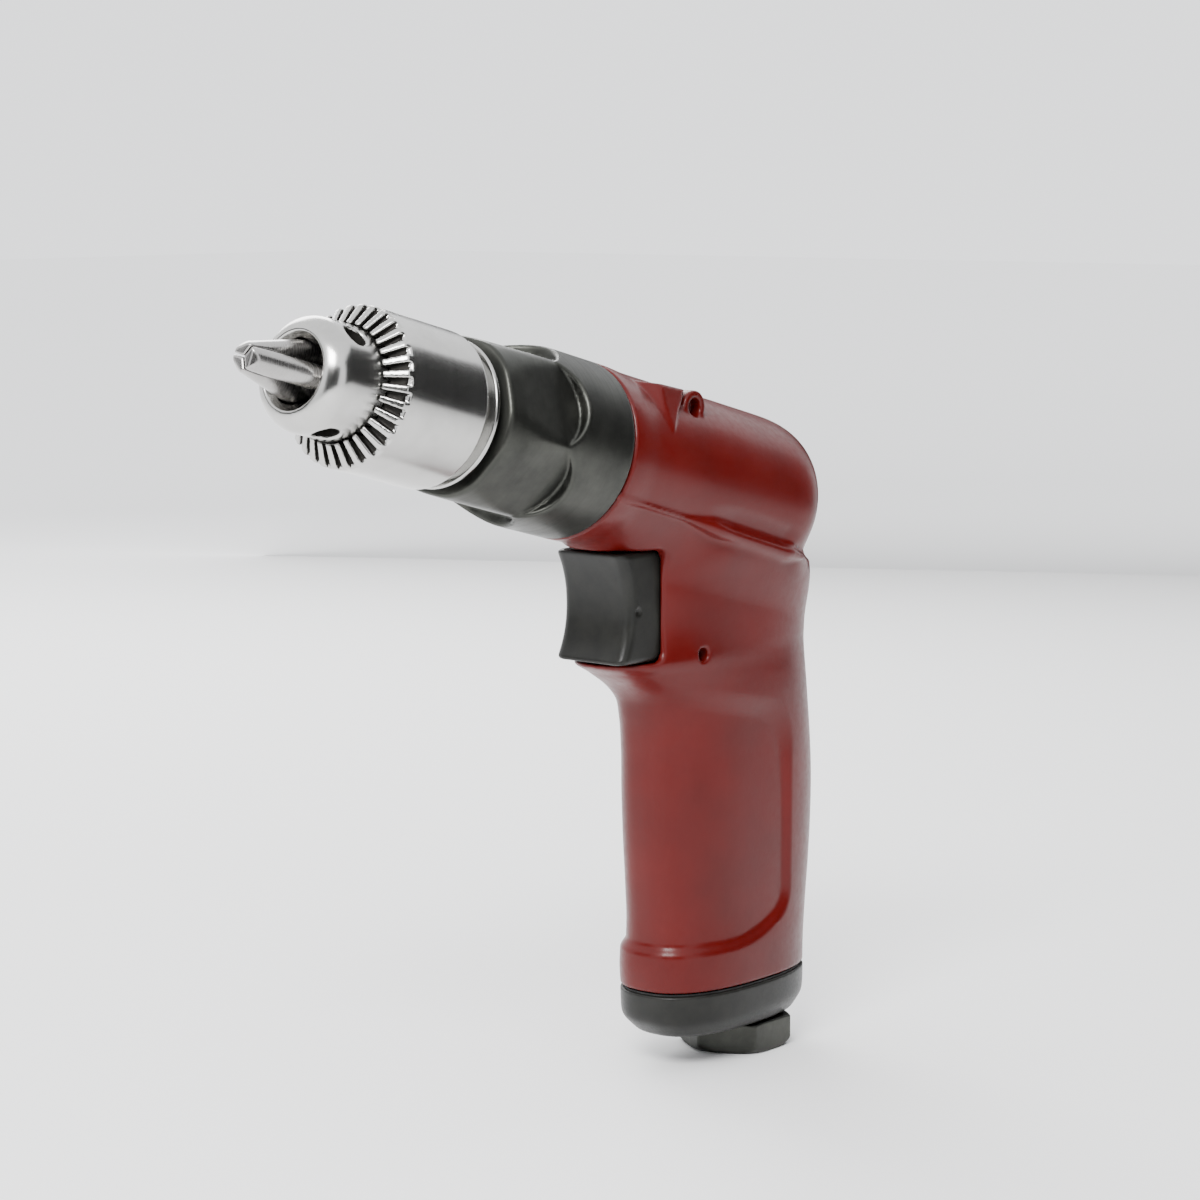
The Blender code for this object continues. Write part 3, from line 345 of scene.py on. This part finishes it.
def inlet_field(p):
    """The hex bushing: worn corners, a turned chamfer and a pipe thread in its bore."""
    x, y, z = p.T
    r = np.hypot(x, y)
    flats = np.abs(y) - HEX_HALF_FLATS
    for side in (-1, 1):
        slanted = np.abs(x * math.cos(math.pi / 6) + side * y / 2) - HEX_HALF_FLATS
        flats = smooth_max(flats, slanted, 0.5)
    hexagon = smooth_max(flats, np.abs(z - 3.85) - 3.85, 0.4)
    hexagon = smooth_max(hexagon, (r - 13.1 - z) * 0.72, 0.5)
    hexagon = smooth_max(hexagon, (r - 15.4 + (z - 6.9) * 2.0) * 0.45, 0.4)
    shape = np.minimum(hexagon, np.maximum(r - 8.8, np.abs(z - 23) - 19))
    turn = z / 1.41 + np.arctan2(y, x) / (2 * math.pi)
    thread = 5.8 + 0.7 * np.abs(turn % 1 - 0.5) * (z < 15)
    bore = np.maximum(r - np.where(z < 20, thread, 4.4), -1 - z)
    mouth = (r - 7.2 + z) * 0.707
    return smooth_max(smooth_max(shape, -bore, 0.1), -mouth, 0.2)


def make_handle_pieces():
    made = polygonise("trigger_moulding", trigger_field, (-58, -11.4, 103.5),
                      (-40.8, 11.4, 131.5), 0.4)
    finish_piece(made, "trigger", "black_plastic", "trigger")
    made = polygonise("cap_moulding", cap_field, (-38, -16.2, 7.3), (20.6, 16.2, 20.1), 0.45)
    finish_piece(made, "housing", "black_plastic", "handle_cap")
    pin = Matrix(((1, 0, 0, INLET_X + PIN_X), (0, 0, -1, 0), (0, 1, 0, PIN_HEIGHT),
                  (0, 0, 0, 1)))
    profile = [(-12.4, 0.05), (-12.4, 1.3), (-12.2, 1.4), (12.2, 1.4), (12.4, 1.3), (12.4, 0.05)]
    finish_piece(lathe("cross_pin", profile, 48, pin), "housing", "ground_steel", "guide_pin")
    made = polygonise("inlet_hex", inlet_field, (-15.2, -13.4, -0.7), (15.2, 13.4, 42.6), 0.4)
    finish_piece(made, "housing", "black_oxide", "inlet_bushing")


# ---- gear case and chuck ------------------------------------------------------------------------
def around(phase):
    """Rotation about the barrel's axis that brings U to an angle from up towards -Y."""
    return Matrix.Rotation(-math.radians(phase), 4, "Z")


def direction(phase):
    return math.cos(math.radians(phase)), -math.sin(math.radians(phase))


def case_field(p):
    """The gear case: a turned cone with six wrench flats, hollow for gears and bearings."""
    u, y, t = p.T
    r = np.hypot(u, y)
    body = smooth_max(r - 21.4, (r - 21.3 + (t - 92.3) * 0.172) * 0.985, 2.0)
    body = smooth_max(body, t - 107.3, 0.9)
    body = smooth_max(body, 66.95 - t, 0.5)
    for side in range(6):
        a, b = direction(68 + 60 * side)
        over = u * a + y * b - 18.4
        reach = 11.2 - np.hypot(y * a - u * b, np.minimum(t - 94.5, 0))
        body = smooth_max(body, np.minimum(over, reach), 0.9)
    body = np.minimum(body, np.maximum(r - 17.2, np.abs(t - 66.0) - 2.8))
    body = np.maximum(body, -np.maximum(r - 15.3, t - 90.6))
    body = np.maximum(body, -np.maximum(r - 13.2, t - 103.7))
    return smooth_max(body, 11.5 - r, 0.3)


def sleeve_field(p):
    """The chuck's sleeve, with the key's teeth cut in its front cone."""
    u, y, t = p.T
    r = np.hypot(u, y)
    slope = 3.2 / 4.95
    cone = (t - 143.6 + slope * (r - 13.3)) * 0.84
    body = smooth_max(smooth_max(r - 18.25, cone, 0.35), 114.6 - t, 0.5)
    turn = np.arctan2(y, u) * 32 / (2 * math.pi)
    offset = (turn % 1 - 0.5) * 2 * math.pi / 32 * r
    share = np.clip((r - 12.4) / 6.85, 0, 1)
    floor = 143.6 - slope * (r - 13.3) - (2.4 - 1.3 * share)
    gap = np.maximum((np.abs(offset) - 0.6 - 0.4 * share) * 0.97, (floor - t) * 0.84)
    body = smooth_max(body, -gap, 0.22)
    bore = np.where(t < 139.4, 16.85, 13.3)
    return smooth_max(body, bore - r, 0.15)


def nose_field(p):
    """The chuck's body: rounded nose, key holes, mouth and the three lanes of the jaws."""
    u, y, t = p.T
    r = np.hypot(u, y)
    ahead = np.clip((t - 152.2) / 5.2, 0, None)
    outer = np.clip((r - 8.0) / 4.95, 0, None)
    nose = np.where(ahead > 0, (np.hypot(ahead, outer) - 1) * 5.0, r - 12.95)
    nose = np.maximum(nose, t - 157.4)
    rear = np.maximum(smooth_max(r - 16.5, (r - 14.6 - (t - 112.8) * 1.2) * 0.64, 0.4), t - 131.0)
    rear = smooth_max(rear, 111.1 - t, 0.5)
    neck = np.maximum(r - 11.4, np.abs(t - 135) - 5)
    body = np.minimum(np.minimum(np.maximum(nose, 139.0 - t), rear), neck)
    mouth = np.maximum(r - 6.7, 153.2 - t)
    throat = np.maximum((r - 6.7 + (153.2 - t) * 0.53) * 0.88, 150.4 - t)
    body = smooth_max(body, -mouth, 0.4)
    body = np.maximum(np.maximum(body, -throat), 5.2 - r - 99 * (t < 129))
    body = np.maximum(body, -np.maximum(r - 4.95, t - 128.5))
    for third in range(3):
        a, b = direction(FIRST_KEY_HOLE + 120 * third)
        out, across = u * a + y * b, y * a - u * b
        key = np.maximum(np.hypot(across, t - 148.6) - 2.9, 7.6 - out)
        body = smooth_max(body, -key, 0.45)
        a, b = direction(FIRST_JAW + 120 * third)
        out, across = u * a + y * b, y * a - u * b
        back = JAW_TIP - t
        offset = (out - 0.5 - back * math.tan(JAW_LEAN)) * math.cos(JAW_LEAN)
        body = np.maximum(body, -np.maximum(np.hypot(across, offset) - 3.0, back - 57.5))
    return body


def jaw_field(p):
    """A jaw: a rod that leans in to the chuck's axis, ground to a wedge that meets the others."""
    u, y, t = p.T
    back = JAW_TIP - t
    lean, shrink = math.tan(JAW_LEAN), math.cos(JAW_LEAN)
    offset = (u - 0.5 - back * lean) * shrink
    length = (back + (u - 0.5) * lean) * shrink
    body = np.maximum(np.hypot(offset, y) - 2.75, length - 38.6)
    for side in (-1, 1):
        body = smooth_max(body, (0.25 - u) * 0.866 + side * y * 0.5, 0.15)
    body = smooth_max(body, -back, 0.35)
    body = smooth_max(body, ((u - 2.5) - back) * 0.707, 0.3)
    return np.maximum(body, (u - 10.12) * 0.95 + (back - 37.45) * 0.31)


def lathe(name, profile, segments, matrix=BARREL):
    """A closed turned ring from points (T, radius) in the barrel's frame."""
    angle = np.arange(segments) * 2 * math.pi / segments
    points = [(r * math.cos(a), r * math.sin(a), t) for t, r in profile for a in angle]
    faces = []
    for row in range(len(profile)):
        low, high = row * segments, (row + 1) % len(profile) * segments
        for i in range(segments):
            j = (i + 1) % segments
            faces.append((low + i, high + i, high + j, low + j))
    made = mesh_object(name, points, faces, matrix)
    bm = bmesh.new()
    bm.from_mesh(made.data)
    bmesh.ops.recalc_face_normals(bm, faces=bm.faces)
    bm.to_mesh(made.data)
    bm.free()
    made.data.set_sharp_from_angle(angle=math.radians(50))
    return made


def make_front():
    made = polygonise("gear_case_turned", case_field, (-22, -22, 62.7), (22, 22, 107.8), 0.5,
                      BARREL)
    finish_piece(made, "housing", "black_oxide", "gear_case")
    made = polygonise("sleeve_toothed", sleeve_field, (-18.8, -18.8, 114.1),
                      (18.8, 18.8, 144.1), 0.36, BARREL)
    finish_piece(made, "sleeve", "bright_steel", "chuck_sleeve")
    # painted shade on the floors of the gaps between the sleeve's teeth
    darken(made, slot_painted_shade)
    made = polygonise("chuck_nose", nose_field, (-17, -17, 110.6), (17, 17, 157.9), 0.4, BARREL)
    finish_piece(made, "spindle", "bright_steel", "chuck_body")
    # painted shade inside the chuck's mouth and key holes
    darken(made, nose_painted_shade)
    profile = [(109.5, 4.95), (109.5, 17.0), (109.6, 17.2), (109.8, 17.3), (110.5, 17.3),
               (110.7, 17.2), (110.8, 17.0), (110.8, 4.95)]
    finish_piece(lathe("washer_turned", profile, 144), "spindle", "bright_steel", "spindle_washer")
    for number in range(3):
        place = BARREL @ around(FIRST_JAW + 120 * number)
        made = polygonise(f"jaw_ground_{number + 1}", jaw_field, (-0.4, -3.4, 132.5),
                          (14.4, 3.4, 172.5), 0.3, place)
        finish_piece(made, f"jaw_{number + 1}", "ground_steel", f"jaw_{number + 1}")


# ---- materials ------------------------------------------------------------------------------
class Nodes:
    """Small helper that writes a node tree from short calls."""

    def __init__(self, name):
        self.material = bpy.data.materials.new(name)
        self.material.use_nodes = True
        self.tree = self.material.node_tree
        self.shader = self.tree.nodes["Principled BSDF"]
        self.place = self.add("ShaderNodeTexCoord").outputs["Object"]

    def add(self, kind, **settings):
        node = self.tree.nodes.new(kind)
        for key, value in settings.items():
            setattr(node, key, value)
        return node

    def link(self, output, node, socket):
        self.tree.links.new(output, node.inputs[socket])

    def set(self, **values):
        for key, value in values.items():
            self.shader.inputs[key.replace("_", " ")].default_value = value

    def mapped(self, scale, along_barrel=False):
        """Object coordinates in millimetres times a scale, in the barrel's frame if asked."""
        source = self.place
        if along_barrel:
            turn = self.add("ShaderNodeMapping", vector_type="TEXTURE")
            turn.inputs["Location"].default_value = Vector((INLET_X, 0, AXIS_HEIGHT)) * MM
            turn.inputs["Rotation"].default_value = BARREL.to_3x3().to_euler()
            self.link(source, turn, "Vector")
            source = turn.outputs[0]
        node = self.add("ShaderNodeMapping")
        node.inputs["Scale"].default_value = [1000 * s for s in scale]
        self.link(source, node, "Vector")
        return node.outputs[0]

    def noise(self, scale, detail=3.0, rough=0.5, along_barrel=False):
        node = self.add("ShaderNodeTexNoise")
        node.inputs["Scale"].default_value = 1.0
        node.inputs["Detail"].default_value = detail
        node.inputs["Roughness"].default_value = rough
        self.link(self.mapped(scale, along_barrel), node, "Vector")
        return node.outputs["Fac"]

    def remap(self, value, low, high, to_low, to_high):
        node = self.add("ShaderNodeMapRange")
        self.link(value, node, "Value")
        limits = {"From Min": low, "From Max": high, "To Min": to_low, "To Max": to_high}
        for key, number in limits.items():
            node.inputs[key].default_value = number
        return node.outputs[0]

    def blend(self, factor, dark, light):
        node = self.add("ShaderNodeMix", data_type="RGBA")
        self.link(factor, node, 0)
        node.inputs[6].default_value = (*dark, 1)
        node.inputs[7].default_value = (*light, 1)
        return node.outputs[2]

    def bump(self, *layers):
        """Bump from pairs of a height output and a depth in millimetres."""
        last = None
        for height, depth in layers:
            node = self.add("ShaderNodeBump")
            node.inputs["Strength"].default_value = 1.0
            node.inputs["Distance"].default_value = depth * MM
            self.link(height, node, "Height")
            if last is not None:
                self.link(last, node, "Normal")
            last = node.outputs[0]
        self.link(last, self.shader, "Normal")


def red_paint():
    n = Nodes("red_paint")
    cloud = n.noise((0.05, 0.05, 0.05), 4)
    dark, light = (0.070, 0.0022, 0.0015), (0.095, 0.0032, 0.0022)
    n.link(n.blend(n.remap(cloud, 0.3, 0.7, 0, 1), dark, light), n.shader, "Base Color")
    n.link(n.remap(n.noise((0.6, 0.6, 0.6), 4), 0.3, 0.7, 0.30, 0.40), n.shader, "Roughness")
    n.bump((n.noise((1.6, 1.6, 1.6), 2), 0.012), (n.noise((0.16, 0.16, 0.16), 2), 0.05))
    n.set(Coat_Weight=0.10, Coat_Roughness=0.15, Specular_IOR_Level=0.2)
    return n.material


def turned_steel(name, dark, light, rough, groove, metal=1.0, aniso=0.5):
    """Steel turned on a lathe: fine rings round the barrel's axis and a little staining."""
    n = Nodes(name)
    rings = n.noise((0.02, 0.02, 9.0), 3, 0.6, along_barrel=True)
    stain = n.noise((0.12, 0.12, 0.12), 5, 0.6)
    n.link(n.blend(n.remap(stain, 0.3, 0.7, 0, 1), dark, light), n.shader, "Base Color")
    n.link(n.remap(rings, 0.25, 0.75, rough * 0.75, rough * 1.3), n.shader, "Roughness")
    n.bump((rings, groove), (n.noise((2.5, 2.5, 2.5), 3), groove * 0.5))
    n.set(Metallic=metal, Anisotropic=aniso)
    return n.material


def plain(name, dark, light, rough, grain, depth, metal=0.0):
    """A moulded or ground surface: two close tones, uneven gloss and a fine grain."""
    n = Nodes(name)
    n.link(n.blend(n.remap(n.noise((0.25, 0.25, 0.25), 5), 0.3, 0.7, 0, 1), dark, light),
           n.shader, "Base Color")
    n.link(n.remap(n.noise((grain * 0.5,) * 3, 3), 0.3, 0.7, rough * 0.85, rough * 1.15),
           n.shader, "Roughness")
    n.bump((n.noise((grain,) * 3, 2), depth))
    n.set(Metallic=metal, Specular_IOR_Level=0.25)
    return n.material


def make_materials():
    """Every finish by its slot's name; recess is the dark finish used as painted shade in hollows,
    and the one that no slot in the record uses.
    """
    moulded = {
        "recess": ((0.012, 0.011, 0.010), (0.03, 0.028, 0.025), 0.55, 2.0, 0.01, 0.6),
        "black_plastic": ((0.008, 0.008, 0.007), (0.013, 0.013, 0.011), 0.38, 3.0, 0.012),
        "rubber": ((0.012, 0.012, 0.012), (0.02, 0.02, 0.02), 0.7, 2.0, 0.01),
        "brass": ((0.55, 0.36, 0.13), (0.66, 0.46, 0.18), 0.28, 4.0, 0.003, 1.0),
        "phenolic": ((0.13, 0.06, 0.025), (0.19, 0.09, 0.04), 0.55, 1.5, 0.02),
        "felt": ((0.28, 0.27, 0.25), (0.4, 0.39, 0.36), 0.95, 1.2, 0.12),
    }
    turned = {
        "black_oxide": ((0.040, 0.041, 0.037), (0.066, 0.067, 0.060), 0.40, 0.004),
        "bright_steel": ((0.44, 0.435, 0.42), (0.53, 0.525, 0.51), 0.2, 0.002),
        "ground_steel": ((0.34, 0.33, 0.32), (0.42, 0.41, 0.40), 0.26, 0.002),
        "bearing_steel": ((0.55, 0.55, 0.56), (0.62, 0.62, 0.63), 0.12, 0.001),
    }
    made = {name: plain(name, *settings) for name, settings in moulded.items()}
    made.update({name: turned_steel(name, *settings) for name, settings in turned.items()})
    made["red_paint"] = red_paint()
    return made


MATERIALS = make_materials()


def dress(made, slot):
    made.data.materials.clear()
    made.data.materials.append(MATERIALS[slot])


def darken(made, is_recess, matrix=BARREL):
    """Painted shade: faces whose middle passes a test in the barrel's frame get the dark finish."""
    made.data.materials.append(MATERIALS["recess"])
    back = np.array(matrix.inverted())
    middles = np.array([face.center for face in made.data.polygons]) / MM
    local = middles @ back[:3, :3].T + back[:3, 3]
    chosen = is_recess(*local.T)
    made.data.polygons.foreach_set("material_index", chosen.astype(np.int32))


def slot_painted_shade(u, y, t):
    """The floors of the gaps between the sleeve's teeth, where the dark finish is painted shade."""
    r = np.hypot(u, y)
    return ((143.6 - 0.646 * (r - 13.3) - t) > 0.62) & (t > 139.5) & (r < 18.05) & (r > 13.35)


def nose_painted_shade(u, y, t):
    """The inside of the chuck's mouth and key holes, where the dark finish is painted shade."""
    r = np.hypot(u, y)
    return (r < 12.3) & (t < 153.0) & (t > 139.5)


def finish_piece(made, body, slot, *nodes):
    """Give a new piece its finish, its body and the CAD nodes that it stands for."""
    dress(made, slot)
    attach(made, body)
    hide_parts(*nodes)
    return made


# ---- studio ---------------------------------------------------------------------------------
def aim(made, place, target):
    made.location = place
    made.rotation_euler = (Vector(target) - Vector(place)).to_track_quat("-Z", "Y").to_euler()


def soft_box(name, place, target, size, power, tone=(1, 1, 1)):
    light = bpy.data.lights.new(name, "AREA")
    light.shape = "RECTANGLE"
    light.size, light.size_y = size
    light.energy = power
    light.color = tone
    made = bpy.data.objects.new(name, light)
    bpy.context.scene.collection.objects.link(made)
    aim(made, place, target)
    return made


def make_studio():
    floor_mesh = bpy.data.meshes.new("studio_floor")
    reach = 6.0
    corners = [(-reach, -reach, 0), (reach, -reach, 0), (reach, reach, 0), (-reach, reach, 0)]
    floor_mesh.from_pydata(corners, [], [(0, 1, 2, 3)])
    floor = bpy.data.objects.new("studio_floor", floor_mesh)
    bpy.context.scene.collection.objects.link(floor)
    floor.location.z = -0.0002
    paper = Nodes("studio_paper")
    paper.set(Base_Color=(0.95, 0.95, 0.95, 1), Roughness=0.9, Specular_IOR_Level=0.0)
    floor.data.materials.append(paper.material)

    world = bpy.data.worlds.new("studio")
    bpy.context.scene.world = world
    world.use_nodes = True
    background = world.node_tree.nodes["Background"]
    background.inputs["Color"].default_value = (0.97, 0.98, 1.0, 1)
    background.inputs["Strength"].default_value = 1.9

    middle = (0, 0, 0.1)
    soft_box("key", (-0.75, -0.35, 0.85), middle, (0.5, 0.35), 16)
    soft_box("rim", (0.5, 0.8, 0.7), middle, (0.7, 0.5), 10)
    dark_card("card_camera", (-1.05, -0.85, 0.42), middle, (1.5, 0.84))
    dark_card("card_side", (0.55, -0.62, 0.28), middle, (1.2, 0.9))
    dark_card("card_back", (0.9, 0.5, 0.2), middle, (0.8, 0.5))
    dark_card("card_ahead", (-0.95, 0.72, 0.36), middle, (0.6, 0.6))


def dark_card(name, place, target, size):
    """A black board out of the camera's sight, which darkens what the side faces reflect."""
    half = Vector(size) / 2
    corners = [(-half.x, -half.y, 0), (half.x, -half.y, 0), (half.x, half.y, 0), (-half.x, half.y, 0)]
    mesh = bpy.data.meshes.new(name)
    mesh.from_pydata(corners, [], [(0, 1, 2, 3)])
    made = bpy.data.objects.new(name, mesh)
    bpy.context.scene.collection.objects.link(made)
    aim(made, place, target)
    paper = Nodes(name)
    paper.set(Base_Color=(0.02, 0.02, 0.02, 1), Roughness=1.0, Specular_IOR_Level=0.0)
    made.data.materials.append(paper.material)
    made.visible_camera = False


def make_camera():
    camera = bpy.data.cameras.new("camera")
    made = bpy.data.objects.new("camera", camera)
    bpy.context.scene.collection.objects.link(made)
    camera.sensor_width = SENSOR
    camera.lens = LENS
    camera.clip_start = 0.01
    place = (Vector(VIEW_PLACE) + Vector((INLET_X, 0, 0))) * MM
    heading = Matrix.Rotation(-math.radians(VIEW_HEADING), 4, "Z")
    tilt = Matrix.Rotation(math.radians(90 - VIEW_TILT), 4, "X")
    roll = Matrix.Rotation(math.radians(VIEW_ROLL), 4, "Z")
    made.matrix_world = Matrix.Translation(place) @ heading @ tilt @ roll
    bpy.context.scene.camera = made


# ---- build ----------------------------------------------------------------------------------
for entry in frame["record"]["subparts"]:
    dress(frame["nodes"][entry["node"]], entry["material_slot"])

make_housing()
make_handle_pieces()
make_front()
make_studio()
make_camera()
